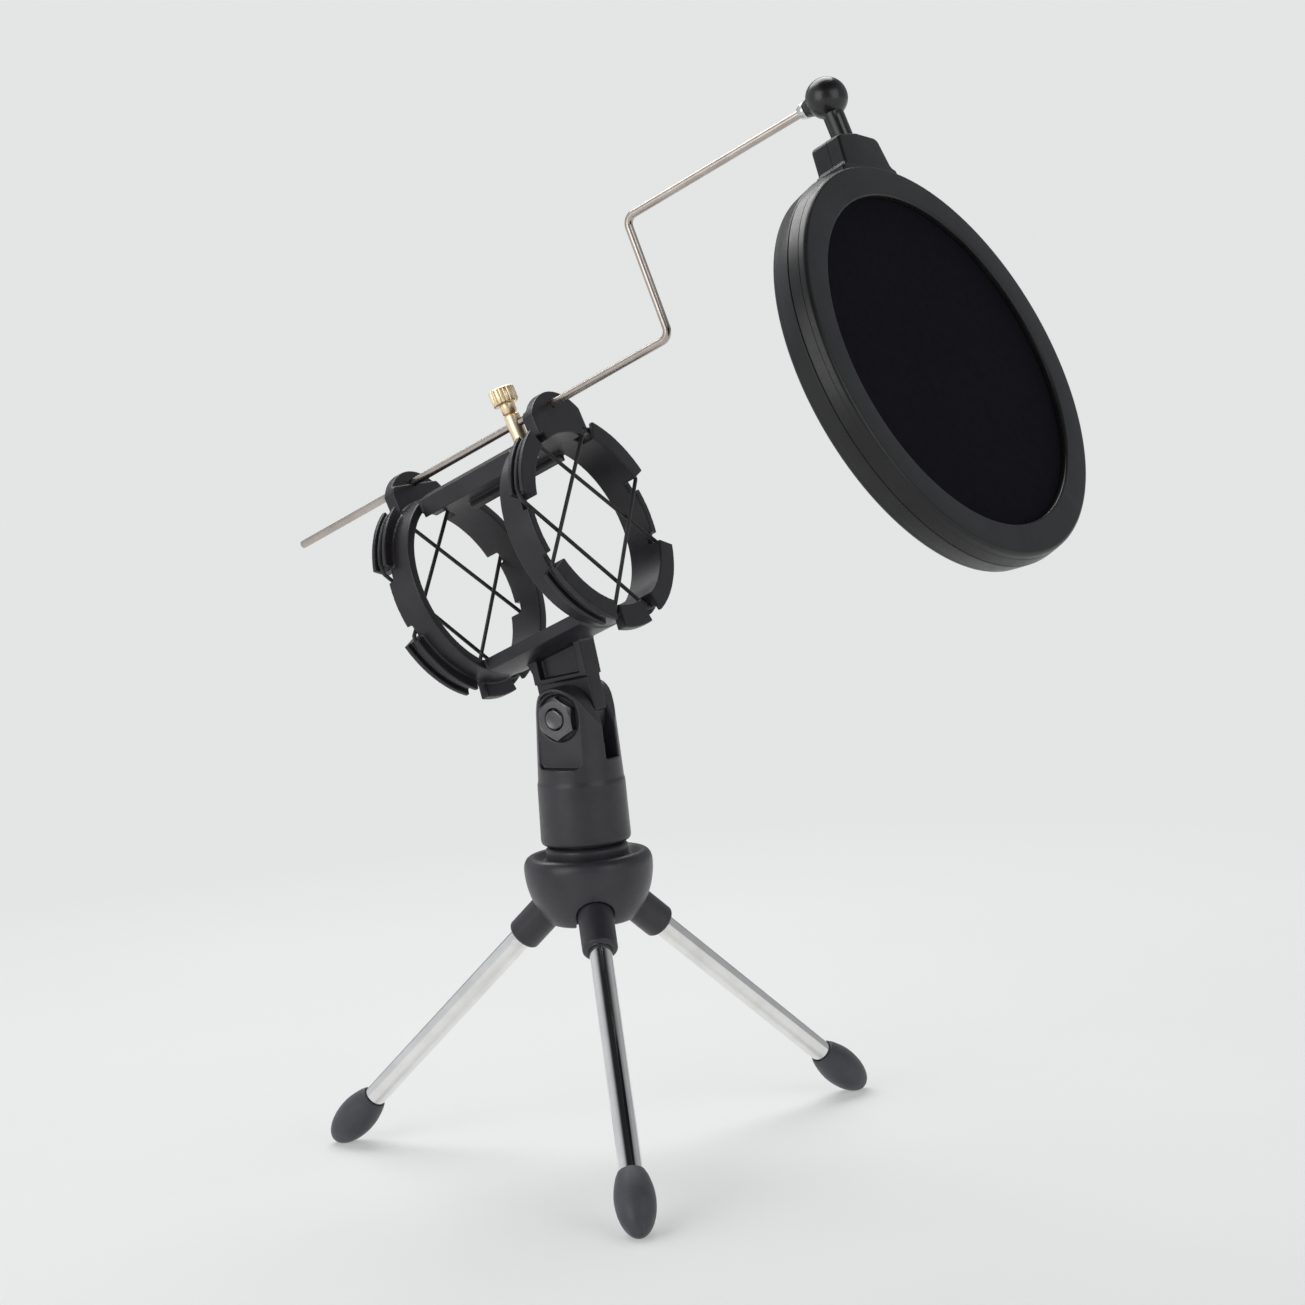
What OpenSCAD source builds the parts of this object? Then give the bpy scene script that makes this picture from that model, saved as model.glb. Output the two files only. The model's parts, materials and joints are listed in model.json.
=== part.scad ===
// Desk tripod with a microphone shock mount and a pop filter on a sliding wire arm.
// Origin: on the floor, on the tripod's vertical axis. +Z up, +X the way the microphone faces.

/* [Tripod] */
// Angle of each leg from the vertical when spread
leg_spread = 48; // [44:1:52]
// Direction of the first leg about the vertical axis
leg_azimuth = -52; // [-60:1:-40]
// Leg hinge: distance from the vertical axis
hinge_r = 10; // [9.6:0.1:10.6]
// Leg tube diameter
tube_d = 6.8; // [6:0.1:7.4]
// Hinge to the rim of the rubber foot, along the leg
leg_len = 96; // [80:1:120]
// Widest diameter of a rubber foot
foot_d = 11.8; // [11:0.1:13]
// Hub rim diameter
hub_d = 38.6; // [37:0.2:40]
// Height of the hub from its flat bottom to the top of its rim
hub_h = 21; // [20.5:0.5:23]

/* [Fork clip] */
// Largest diameter of the fork clip
clip_d = 27; // [26:0.5:28]
// Height of the tilt pivot above the bottom of the clip
pivot_up = 38.4; // [37:0.2:42]
// Width of the fork slot
slot_w = 6.4; // [6:0.1:7]

/* [Shock mount] */
// Upward tilt of the microphone axis
tilt = 21.5; // [0:0.5:40]
// Forward lean of the arm in the shock mount's own frame
arm_lean = 12.5; // [8:0.5:16]
// Inner diameter of the two rings
ring_id = 54.4; // [53:0.2:56]
// Wall thickness of the two rings
ring_wall = 2.8; // [2.4:0.1:3.2]
// Length of each ring along the microphone axis
ring_w = 12; // [11:0.5:14]
// Overall length over the two rings
mount_len = 61.2; // [56:0.2:70]
// Ring axis above the pivot, across the microphone axis
ring_up = 49.1; // [48.5:0.1:52]
// Front ring face ahead of the pivot
ring_front = 35; // [32:0.5:38]
// Diameter of the elastic bands
band_d = 1.2; // [1:0.1:1.3]

/* [Wire arm] */
// Wire diameter
wire_d = 2.4; // [2:0.1:2.6]
// Wire above the ring axis
wire_up = 36.3; // [35.5:0.1:37]
// Straight wire behind the front ring face
wire_back = 106; // [90:0.5:115]
// Lower straight wire ahead of the front ring face
wire_front = 45.9; // [40:0.1:60]
// Rise of the upper wire above the lower wire
wire_rise = 36.7; // [30:0.1:45]
// Swivel ball centre ahead of the front ring face
ball_ahead = 122; // [115:0.5:135]
// Swivel ball diameter
ball_d = 11.8; // [10:0.1:13]

/* [Pop filter] */
// Outer diameter of the filter frame
filter_d = 118.6; // [110:0.2:126]
// Opening diameter of the filter frame
filter_open = 98.6; // [92:0.2:104]
// Thickness of the front half of the filter frame
front_t = 5.5; // [5.3:0.1:6.5]
// Thickness of the back half of the filter frame
back_t = 6.6; // [5.3:0.1:7.5]
// Swivel ball centre to the middle of the filter
filter_drop = 82.6; // [80:0.2:90]
// Sideways swing of the filter about the wire
filter_swing = -6.5; // [-20:0.5:20]
// Turn of the filter about its stem
filter_turn = -2; // [-20:0.5:20]
// Forward set of the stem
filter_nod = 2; // [-4:0.5:6]

/* [Hidden] */
$fn = 96;

slack = 0.06;             // radial play of every pin and shaft that turns
black = [0.10, 0.10, 0.105];
rubber = [0.13, 0.13, 0.145];
steel = [0.72, 0.72, 0.74];
brass = [0.83, 0.68, 0.40];
mesh_black = [0.05, 0.05, 0.06];

// Tripod
socket_r = 5.3;
socket_len = 18.9;        // hinge to the open end of a socket
socket_start = 5;         // the full round of the socket starts past the hinge eye
eye_r = 5;
eye_w = 10;
notch_w = eye_w + 1.2;    // width of the hub's notch
notch_r = socket_r + 0.3; // arch of the notch round the spread leg
pin_r = 1.5;
pin_len = 18;
foot_rim_r = 4.2;
foot_grip = 15;           // length of tube inside a foot
foot_swell = 8.8;         // rim to the widest point of a foot
foot_nose = 12;           // widest point to the tip
foot_sink = 0.15;         // depth of the flat worn on each foot
foot_drop = sqrt(pow(foot_nose * cos(leg_spread), 2) + pow(foot_d / 2 * sin(leg_spread), 2));
hinge_z = (leg_len + foot_swell) * cos(leg_spread) + foot_drop - foot_sink;
hub_z = hinge_z - 8;
hub_top = hub_z + hub_h;
collar_r = 12.4;
collar_top = hub_top + 2.6;
clip_z = collar_top + 0.6;
pivot_z = clip_z + pivot_up;
stud_r = 7.9;
stud_top = clip_z + 14;
stud_seat = hub_z + 14.5; // floor of the pocket that holds the stud's root
stud_root_r = 5;
screw_r = 2;
screw_head_r = 3.5;
screw_head_t = 1.8;
screw_sink = 0.6;         // screw head above the hub's bottom
thread_pitch = 0.94;
insert_r = 9.4;
insert_h = 16;

// Fork clip
clip_top_r = 11.6;
ear_r = 9.2;
ear_flat = 9.2;           // face of the flat on each ear, from the middle
nut_seat = 8.4;           // floor of the round seat in that flat
bolt_r = 3;
nut_af = 11.4;
nut_t = 2.8;
slot_floor = 13;          // slot floor below the pivot

// Shock mount
ring_r = ring_id / 2;
ring_R = ring_r + ring_wall;
bar_half = 13;
knuckle_r = 9;
knuckle_t = slot_w - 0.4;
arm_half = 9.6;
arm_t = 8;
web_t = 2.4;
flange_t = 2.4;
hook_R = ring_R + 3.3;
lip_t = 1.4;              // lip at the outer face of each hook
groove_w = 2.8;           // groove that holds a band, behind the lip
rib_t = 1.4;
notch_depth = lip_t + groove_w;
// Angles from the top of a ring down one side; the other side mirrors them
hook_spans = [[28.6, 69.4], [112, 159.4]];
band_angles = [25.6, 71.2, 110.2, 161.2];
crown_cuts = [             // from, to, depth below the outer face
    [20, hook_spans[0][0], notch_depth],
    [hook_spans[0][1], 76.6, notch_depth],
    [76, 105, 2.4],
    [104.4, hook_spans[1][0], notch_depth],
    [hook_spans[1][1], 167, notch_depth],
    [166, 180.5, 1.6]
];
tab_half = 12.6;          // half the angle of the tab at the bottom of a ring
tab_R = ring_R + 4.4;
band_R = ring_R + band_d / 2 + 0.15;
band_z1 = -lip_t - 0.1 - band_d / 2;
band_z2 = band_z1 - band_d - 0.02;
corners = concat(band_angles, [for (i = [3 : -1 : 0]) 360 - band_angles[i]]);
boss_t = 4;
boss_top_R = 14.6;
boss_top = wire_up + 4;
boss_half = 12.2;
post_back = 15.2;         // clamp post behind the front ring face
post_r = 2.4;
clamp_bore_r = 1.6;

// Wire
wire_r = wire_d / 2;
bend_r = 3.2;
rise_lean = 3;            // the riser leans forward by this angle
crimp_ahead = 9.4;        // open end of the ferrule before the ball centre
crimp_len = 2.4;
cone_gap = 0.12;          // between the ferrule and the ball's cone

// Pop filter
filter_R = filter_d / 2;
open_r = filter_open / 2;
neck_half = 10.2;
neck_t = 5.2;             // half the thickness of the neck
neck_top = 69.4;          // top of the neck above the middle of the filter
stem_r = 3;
stem_end = 60;            // lower end of the stem above the middle of the filter
mesh_gap = 7;             // between the outer faces of the two mesh layers
mesh_t = 0.5;
seat_r = open_r + 4.2;    // radius of the seat that holds hoop and mesh
seat_z = mesh_gap / 2 + 0.05;
collar_over = 0.7;        // the stem's collar stands out from the stem

// ---------- placing ----------
module leg_place(k) {
    rotate([0, 0, leg_azimuth + 120 * k])
        translate([hinge_r, 0, hinge_z])
            rotate([0, 180 - leg_spread, 0]) children();
}

// Shock mount frame: origin at the pivot, X along the microphone axis
module cradle_place() {
    translate([0, 0, pivot_z]) rotate([0, -tilt, 0]) children();
}

// Local Z along the microphone axis, local X up across it, origin in a ring face
module ring_place(ahead) {
    cradle_place()
        translate([ahead, 0, ring_up])
            rotate([0, 90, 0]) rotate([0, 0, 180]) children();
}

module front_place() {
    ring_place(ring_front) children();
}

module rear_place() {
    ring_place(ring_front - mount_len) mirror([0, 0, 1]) children();
}

// Origin at the swivel ball, in the shock mount's directions
module ball_place() {
    cradle_place()
        translate([ring_front + ball_ahead, 0, ring_up + wire_up + wire_rise]) children();
}

// Swung about the wire, then set forward
module swing_place() {
    ball_place() rotate([filter_swing, 0, 0]) rotate([0, -filter_nod, 0]) children();
}

// Local Z is the filter's face normal, local X points at the ball, origin mid filter
module filter_place() {
    swing_place()
        rotate([0, 0, filter_turn])
            translate([0, 0, -filter_drop])
                rotate([0, 90, 0]) rotate([0, 0, 180]) children();
}

// ---------- shapes ----------
module ring_solid(r_in, r_out, z0, z1) {
    translate([0, 0, z0])
        difference() {
            cylinder(r = r_out, h = z1 - z0);
            translate([0, 0, -1]) cylinder(r = r_in, h = z1 - z0 + 2);
        }
}

// Part of a ring between two angles, square section
module arc_solid(a0, a1, r_in, r_out, z0, z1) {
    rotate([0, 0, a0])
        rotate_extrude(angle = a1 - a0)
            translate([r_in, z0]) square([r_out - r_in, z1 - z0]);
}

module rod_between(p, q, r) {
    d = q - p;
    len = norm(d);
    translate(p)
        rotate([0, acos(d[2] / len), atan2(d[1], d[0])])
            cylinder(r = r, h = len, $fn = 24);
}

// ---------- tripod ----------
function bowl_r(z) = hub_d / 2 * sqrt(1 - pow((hub_z + 17.4 - z) / 22.6, 2));

module hub_outline() {
    rim_z = hub_z + 17.4;
    rim_r = hub_d / 2;
    steps = 10;
    polygon(concat(
        [[0, hub_z], [bowl_r(hub_z) - 0.8, hub_z], [bowl_r(hub_z + 0.6), hub_z + 0.6]],
        [for (i = [1 : steps]) let (z = hub_z + 0.6 + (17.4 - 0.6) * i / steps) [bowl_r(z), z]],
        [for (a = [15 : 15 : 105])
            [rim_r - 2.6 + 2.6 * cos(a), rim_z + (hub_top - rim_z) * sin(a)]],
        [[collar_r + 1.2, hub_top - 2.2], [collar_r, hub_top - 1.6], [collar_r, collar_top - 0.9],
         [collar_r - 0.9, collar_top], [0, collar_top]]
    ));
}

module leg_notch() {
    // Room for the eye, an arch round the spread leg, and the way down to the folded leg
    far = 40;
    rotate([90, 0, 0]) cylinder(r = eye_r + 0.45, h = notch_w, center = true);
    rotate([0, 180 - leg_spread, 0]) cylinder(r = notch_r, h = far);
    rotate([90, 0, 0])
        linear_extrude(height = notch_w, center = true)
            polygon([
                [-notch_r, 0], [-notch_r, -far], [far, -far],
                [far * sin(leg_spread), -far * cos(leg_spread)], [0, 0]
            ]);
}

module hub() {
    color(black)
        difference() {
            rotate_extrude() hub_outline();
            for (k = [0 : 2])
                rotate([0, 0, leg_azimuth + 120 * k])
                    translate([hinge_r, 0, hinge_z]) {
                        leg_notch();
                        rotate([90, 0, 0]) cylinder(r = pin_r, h = pin_len, center = true);
                    }
            translate([0, 0, stud_seat]) cylinder(r = stud_root_r, h = 20);
            translate([0, 0, hub_z - 1]) cylinder(r = screw_r + 0.1, h = 20);
            translate([0, 0, hub_z - 1])
                cylinder(r = screw_head_r + 0.2, h = screw_sink + screw_head_t + 1);
        }
}

module hub_stud() {
    turns = floor((stud_top - collar_top - 1) / thread_pitch);
    color(steel)
        difference() {
            union() {
                translate([0, 0, stud_seat]) cylinder(r = stud_root_r, h = collar_top - stud_seat);
                translate([0, 0, collar_top]) cylinder(r = stud_r - 0.5, h = stud_top - collar_top);
                for (i = [1 : turns])
                    translate([0, 0, collar_top + i * thread_pitch])
                        cylinder(r = stud_r, h = thread_pitch * 0.45);
            }
            translate([0, 0, stud_seat - 0.5]) cylinder(r = screw_r, h = 9);
        }
}

module hub_screw() {
    color(steel)
        difference() {
            union() {
                translate([0, 0, hub_z + screw_sink]) cylinder(r = screw_head_r, h = screw_head_t);
                translate([0, 0, hub_z + screw_sink + screw_head_t]) cylinder(r = screw_r, h = 18);
            }
            translate([-0.5, -4, hub_z]) cube([1, 8, 1.4]);
            translate([-4, -0.5, hub_z]) cube([8, 1, 1.4]);
        }
}

module hinge_pins() {
    color(steel)
        for (k = [0 : 2])
            rotate([0, 0, leg_azimuth + 120 * k])
                translate([hinge_r, 0, hinge_z])
                    rotate([90, 0, 0]) cylinder(r = pin_r, h = pin_len, center = true);
}

module leg_socket(k) {
    color(black)
        leg_place(k)
            difference() {
                union() {
                    rotate([90, 0, 0]) cylinder(r = eye_r, h = eye_w, center = true);
                    cylinder(r = eye_w / 2, h = socket_start + 0.6);
                    translate([0, 0, socket_start])
                        cylinder(r = socket_r, h = socket_len - socket_start - 0.6);
                    translate([0, 0, socket_len - 0.6]) cylinder(r1 = socket_r, r2 = socket_r - 0.5, h = 0.6);
                }
                rotate([90, 0, 0]) cylinder(r = pin_r + slack, h = 30, center = true);
                translate([0, 0, 6.5]) cylinder(r = tube_d / 2, h = 30);
            }
}

module leg_tube(k) {
    color(steel)
        leg_place(k)
            translate([0, 0, 6.5])
                difference() {
                    cylinder(r = tube_d / 2, h = leg_len + foot_grip - 6.5);
                    translate([0, 0, -1]) cylinder(r = tube_d / 2 - 0.6, h = leg_len + foot_grip);
                }
}

module foot_outline() {
    R = foot_d / 2;
    polygon(concat(
        [[0, 0], [foot_rim_r - 0.5, 0], [foot_rim_r, 0.5]],
        [for (i = [1 : 6]) let (t = i / 6)
            [foot_rim_r + (R - foot_rim_r) * sin(90 * t), foot_swell * t]],
        [for (a = [7.5 : 7.5 : 90]) [R * cos(a), foot_swell + foot_nose * sin(a)]]
    ));
}

module foot(k) {
    color(rubber)
        difference() {
            leg_place(k)
                translate([0, 0, leg_len])
                    difference() {
                        rotate_extrude() foot_outline();
                        translate([0, 0, -1]) cylinder(r = tube_d / 2, h = foot_grip + 1);
                    }
            translate([-200, -200, -20]) cube([400, 400, 20]);
        }
}

// ---------- fork clip ----------
module ear_outline() {
    // Straight sides that run as tangents into the round top of the ears
    side = clip_d / 2;
    low = -6;
    reach = norm([side, low]);
    turn = atan2(low, side) + acos(ear_r / reach);
    circle(r = ear_r);
    polygon([
        [-side, -60], [side, -60], [side, low],
        [ear_r * cos(turn), ear_r * sin(turn)],
        [-ear_r * cos(turn), ear_r * sin(turn)], [-side, low]
    ]);
}

module clip_outline() {
    R = clip_d / 2;
    polygon([
        [0, clip_z], [R - 0.9, clip_z], [R - 0.2, clip_z + 0.5], [R, clip_z + 1.4],
        [R - 0.35, clip_z + 18.2], [R - 0.65, clip_z + 19.2],
        [clip_top_r, pivot_z + 4], [clip_top_r - 0.4, pivot_z + 14], [0, pivot_z + 14]
    ]);
}

module ear_flat_cut() {
    // Flat with a round top, and a deeper round seat for the nut
    translate([0, 0, pivot_z]) rotate([90, 0, 0]) {
        translate([0, 0, ear_flat])
            linear_extrude(height = 10) {
                circle(r = 8);
                translate([-7.4, -13.2]) square([14.8, 13.2]);
                translate([-5.6, -15]) square([11.2, 15]);
                for (s = [-1, 1])
                    translate([5.6 * s, -13.2]) circle(r = 1.8);
            }
        translate([0, 0, nut_seat]) cylinder(r = 7, h = 10);
    }
}

module clip_body() {
    color(black)
        difference() {
            intersection() {
                rotate_extrude() clip_outline();
                translate([0, 0, pivot_z])
                    rotate([90, 0, 0])
                        linear_extrude(height = 60, center = true) ear_outline();
            }
            translate([-30, -slot_w / 2, pivot_z - slot_floor]) cube([60, slot_w, 60]);
            translate([0, 0, clip_z - 1]) cylinder(r = insert_r, h = insert_h + 1);
            ear_flat_cut();
            mirror([0, 1, 0]) ear_flat_cut();
            translate([0, 0, pivot_z]) rotate([90, 0, 0]) cylinder(r = bolt_r, h = 60, center = true);
        }
}

module thread_insert() {
    color(brass)
        translate([0, 0, clip_z])
            difference() {
                cylinder(r = insert_r, h = insert_h);
                translate([0, 0, -1]) cylinder(r = stud_r + slack, h = insert_h + 2);
            }
}

module pivot_bolt() {
    color(steel)
        translate([0, 0, pivot_z]) rotate([90, 0, 0]) {
            translate([0, 0, -nut_seat]) cylinder(r = bolt_r, h = 2 * nut_seat + nut_t + 0.5);
            translate([0, 0, nut_seat + nut_t + 0.5]) cylinder(r1 = bolt_r, r2 = bolt_r - 0.6, h = 0.5);
            translate([0, 0, -nut_seat - 3.2]) cylinder(r = nut_af / 2 / cos(30), h = 3.2, $fn = 6);
        }
}

module pivot_nut() {
    color(steel)
        translate([0, 0, pivot_z]) rotate([90, 0, 0])
            translate([0, 0, nut_seat])
                difference() {
                    cylinder(r = nut_af / 2 / cos(30), h = nut_t, $fn = 6);
                    translate([0, 0, -1]) cylinder(r = bolt_r, h = nut_t + 2);
                }
}

// ---------- shock mount ----------
module arm_side(x0, x1, z0, z1, t) {
    translate([x0, -t / 2, z0]) cube([x1 - x0, t, z1 - z0]);
}

module cradle_arm() {
    reach = 40;
    color(black)
        difference() {
            cradle_place()
                rotate([0, arm_lean, 0])
                    difference() {
                        union() {
                            rotate([90, 0, 0]) cylinder(r = knuckle_r, h = knuckle_t, center = true);
                            arm_side(-arm_half, arm_half, 0, 12, knuckle_t);
                            arm_side(-arm_half, arm_half, 10.6, reach, arm_t);
                            // gusset that spreads the back of the arm into the lower bar
                            translate([-arm_half, arm_t / 2, 0]) rotate([90, 0, 0])
                                linear_extrude(height = arm_t)
                                    polygon([[0, 14], [0.1, reach], [-9, reach], [-4.5, 21], [-1.4, 17.5]]);
                        }
                        for (s = [-1, 1])
                            translate([-arm_half + flange_t, s > 0 ? web_t / 2 : -20 - web_t / 2, 12])
                                cube([2 * (arm_half - flange_t), 20, reach]);
                        rotate([90, 0, 0]) cylinder(r = bolt_r + slack, h = 30, center = true);
                    }
            ring_place(0) translate([0, 0, -100]) cylinder(r = ring_R + 0.4, h = 200);
        }
}

// Part of the body between the rings: a curved plate with a rib along each edge.
// The ribs stand inset mm inside the bore of the rings.
module bar(facing, inset) {
    rib = 2.2;
    intersection() {
        union() {
            ring_solid(ring_r, ring_R + 0.4, -mount_len + ring_w, -ring_w);
            for (s = [-1, 1])
                translate([facing > 0 ? 0 : -60, s > 0 ? bar_half - rib : -bar_half, -mount_len + ring_w])
                    cube([60, rib, mount_len - 2 * ring_w]);
        }
        difference() {
            translate([facing > 0 ? 0 : -60, -bar_half, -mount_len])
                cube([60, 2 * bar_half, mount_len]);
            translate([0, 0, -mount_len - 1]) cylinder(r = ring_r - inset, h = mount_len + 2);
        }
        translate([0, 0, -mount_len]) cylinder(r = ring_R + 0.4, h = mount_len);
    }
}

module lower_bar() {
    color(black) front_place() bar(-1, 0);
}

module upper_bar() {
    color(black)
        difference() {
            front_place() bar(1, 1.6);
            front_place() translate([0, 0, -post_back]) rotate([0, 90, 0])
                translate([0, 0, 20]) cylinder(r = clamp_bore_r, h = 20);
            front_place() translate([ring_R - 1.2, 0, -post_back]) rotate([0, 90, 0])
                cylinder(r = post_r + 0.8, h = 20);
        }
}

// The lip runs on a little, into the notches that trim it
module hook(span) {
    arc_solid(span[0] - 1, span[1] + 1, ring_R - 0.5, hook_R, -lip_t, 0);
    arc_solid(span[0] + 0.6, span[1] - 0.6, ring_R - 0.5, hook_R, -notch_depth - rib_t, -notch_depth);
}

module crown_cut(cut) {
    arc_solid(cut[0], cut[1], ring_r - 1, tab_R + 1, -cut[2], 1);
}

module ring_body() {
    difference() {
        union() {
            ring_solid(ring_r, ring_R, -ring_w, 0);
            for (span = hook_spans) {
                hook(span);
                mirror([0, 1, 0]) hook(span);
            }
            arc_solid(180 - tab_half, 180 + tab_half, ring_R - 0.5, tab_R, -notch_depth - 0.4, 0);
        }
        for (cut = crown_cuts) {
            crown_cut(cut);
            mirror([0, 1, 0]) crown_cut(cut);
        }
    }
}

module front_ring() {
    color(black) front_place() ring_body();
}

module rear_ring() {
    color(black) rear_place() ring_body();
}

// Stands on the ring; above the wire its inner side is a step thinner
module boss_body() {
    step = 1;
    difference() {
        intersection() {
            translate([boss_top - boss_top_R, 0, -boss_t]) cylinder(r = boss_top_R, h = boss_t);
            translate([20, -boss_half, -boss_t]) cube([40, 2 * boss_half, boss_t]);
        }
        translate([0, 0, -boss_t - 1]) cylinder(r = ring_R, h = boss_t + 2);
        translate([wire_up, 0, -boss_t - 1]) cylinder(r = wire_r + slack, h = boss_t + 2);
        translate([wire_up - 0.6, -20, -boss_t - 1]) cube([20, 40, step + 1]);
    }
}

module front_boss() {
    color(black) front_place() boss_body();
}

module rear_boss() {
    color(black) rear_place() boss_body();
}

function on_band(a) = [band_R * cos(a), band_R * sin(a), 0];

// One closed loop: two runs across the ring, two round the outside of it
module band(i, j, k, l, z) {
    translate([0, 0, z]) {
        rod_between(on_band(corners[i]), on_band(corners[l]), band_d / 2);
        rod_between(on_band(corners[j]), on_band(corners[k]), band_d / 2);
        rotate([0, 0, corners[i]])
            rotate_extrude(angle = corners[j] - corners[i])
                translate([band_R, 0]) circle(r = band_d / 2, $fn = 24);
        rotate([0, 0, corners[k]])
            rotate_extrude(angle = corners[l] - corners[k])
                translate([band_R, 0]) circle(r = band_d / 2, $fn = 24);
        for (a = [i, j, k, l])
            translate(on_band(corners[a])) sphere(r = band_d / 2 + 0.2, $fn = 24);
    }
}

module front_band_1() {
    color(mesh_black) front_place() mirror([0, 0, 1]) band(2, 3, 6, 7, -band_z1);
}

module front_band_2() {
    color(mesh_black) front_place() mirror([0, 0, 1]) band(0, 1, 4, 5, -band_z2);
}

module rear_band_1() {
    color(mesh_black) rear_place() band(0, 1, 4, 5, band_z1);
}

module rear_band_2() {
    color(mesh_black) rear_place() band(2, 3, 6, 7, band_z2);
}

// ---------- wire clamp ----------
module clamp_place() {
    front_place() translate([0, 0, -post_back]) rotate([0, 90, 0]) children();
}

module clamp_post() {
    foot_up = ring_R - 1.2;
    color(brass)
        clamp_place()
            difference() {
                union() {
                    translate([0, 0, foot_up]) cylinder(r = post_r, h = wire_up + 3.2 - foot_up);
                    translate([0, 0, ring_r - 3]) cylinder(r = clamp_bore_r, h = 8);
                }
                translate([0, 0, wire_up]) rotate([0, 90, 0])
                    cylinder(r = wire_r + slack, h = 20, center = true);
                translate([0, 0, wire_up]) cylinder(r = 1 + slack, h = 20);
            }
}

// Its top corners meet the curved underside of the upper bar
module clamp_nut() {
    nut_r = 3.2;
    nut_h = 2.2;
    color(steel)
        clamp_place()
            difference() {
                translate([0, 0, sqrt(pow(ring_r, 2) - pow(nut_r, 2)) - 0.02 - nut_h])
                    cylinder(r = nut_r, h = nut_h, $fn = 6);
                cylinder(r = clamp_bore_r, h = 60);
            }
}

module clamp_screw() {
    color(brass)
        clamp_place()
            difference() {
                union() {
                    translate([0, 0, wire_up + wire_r + 0.1]) cylinder(r = 1, h = 4);
                    translate([0, 0, wire_up + 3.5]) cylinder(r = 2.3, h = 3.6);
                    translate([0, 0, wire_up + 6.6]) cylinder(r = 4, h = 5);
                }
                for (a = [0 : 20 : 340])
                    rotate([0, 0, a]) translate([4.2, 0, wire_up + 5])
                        cylinder(r = 0.45, h = 8, $fn = 16);
                translate([0, 0, wire_up + 10.9]) cylinder(r = 2.6, h = 3);
            }
}

// ---------- wire arm ----------
// A bend in the X-Z plane that starts at the origin along +X and turns by the angle a
module bend(a) {
    s = a > 0 ? 1 : -1;
    translate([0, 0, s * bend_r])
        rotate([90, 0, 0])
            rotate([0, 0, s > 0 ? -90 : 90 + a])
                rotate_extrude(angle = abs(a))
                    translate([bend_r, 0]) circle(r = wire_r, $fn = 32);
}

module run(len) {
    rotate([0, 90, 0]) cylinder(r = wire_r, h = len, $fn = 32);
}

// A hair fuller than the wire, so that a run and a bend become one piece
module knot() {
    sphere(r = wire_r + 0.03, $fn = 32);
}

module wire_arm() {
    turn = 90 - rise_lean;
    trim = bend_r * tan(turn / 2);
    riser = wire_rise / sin(turn);
    lower = wire_front - trim;
    upper = ball_ahead - crimp_ahead - wire_front - wire_rise * tan(rise_lean) - trim;
    color(steel)
        cradle_place()
            translate([ring_front, 0, ring_up + wire_up]) {
                translate([-wire_back, 0, 0]) run(wire_back + lower);
                translate([lower, 0, 0]) {
                    knot();
                    bend(turn);
                }
                translate([wire_front, 0, 0]) rotate([0, -turn, 0]) {
                    translate([trim, 0, 0]) {
                        knot();
                        run(riser - 2 * trim);
                    }
                    translate([riser - trim, 0, 0]) {
                        knot();
                        bend(-turn);
                    }
                }
                translate([wire_front + wire_rise * tan(rise_lean) + trim, 0, wire_rise]) {
                    knot();
                    run(upper + 4);
                }
            }
}

module wire_ferrule() {
    color(steel)
        ball_place()
            rotate([0, 90, 0])
                difference() {
                    union() {
                        translate([0, 0, -crimp_ahead]) cylinder(r1 = 1.7, r2 = 2.4, h = 1.6);
                        translate([0, 0, -crimp_ahead + 1.6]) cylinder(r = 2.4, h = crimp_len - 1.6);
                    }
                    translate([0, 0, -20]) cylinder(r = wire_r, h = 40);
                }
}

// ---------- swivel ----------
module swivel_ball() {
    cone_far = crimp_ahead - crimp_len - cone_gap;
    color(black)
        difference() {
            union() {
                swing_place() {
                    sphere(r = ball_d / 2);
                    translate([0, 0, -(filter_drop - stem_end)])
                        difference() {
                            cylinder(r = stem_r, h = filter_drop - stem_end, $fn = 48);
                            for (a = [45 : 90 : 315])
                                rotate([0, 0, a]) translate([stem_r + 0.25, 0, 4])
                                    cylinder(r = 0.8, h = 40, $fn = 24);
                        }
                    translate([0, 0, -(filter_drop - stem_end)]) cylinder(r = stem_r + collar_over, h = 1.6);
                }
                ball_place() rotate([0, 90, 0]) translate([0, 0, -cone_far])
                    cylinder(r1 = 2.4, r2 = 3.4, h = cone_far - 3.2);
            }
            ball_place() rotate([0, 90, 0]) translate([0, 0, -20]) cylinder(r = wire_r + slack, h = 20 - 5);
        }
}

// Spring clip inside the neck that keeps the stem's collar from pulling out
module swivel_clip() {
    color(steel)
        filter_place()
            rotate([0, 90, 0])
                translate([0, 0, stem_end + 1.9])
                    difference() {
                        cylinder(r = stem_r + collar_over - 0.05, h = 0.8);
                        translate([0, 0, -1]) cylinder(r = stem_r + slack, h = 3);
                    }
}

// ---------- pop filter ----------
// Section of one half: radius to the right, depth from the parting plane upwards
module frame_outline(depth) {
    polygon([
        [open_r, seat_z], [seat_r, seat_z], [seat_r, 0], [filter_R - 0.4, 0], [filter_R, 0.4],
        [filter_R, depth - 2.4], [filter_R - 0.4, depth - 1.2], [filter_R - 1.2, depth - 0.4],
        [filter_R - 2.4, depth], [open_r + 0.6, depth], [open_r, depth - 0.5]
    ]);
}

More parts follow.
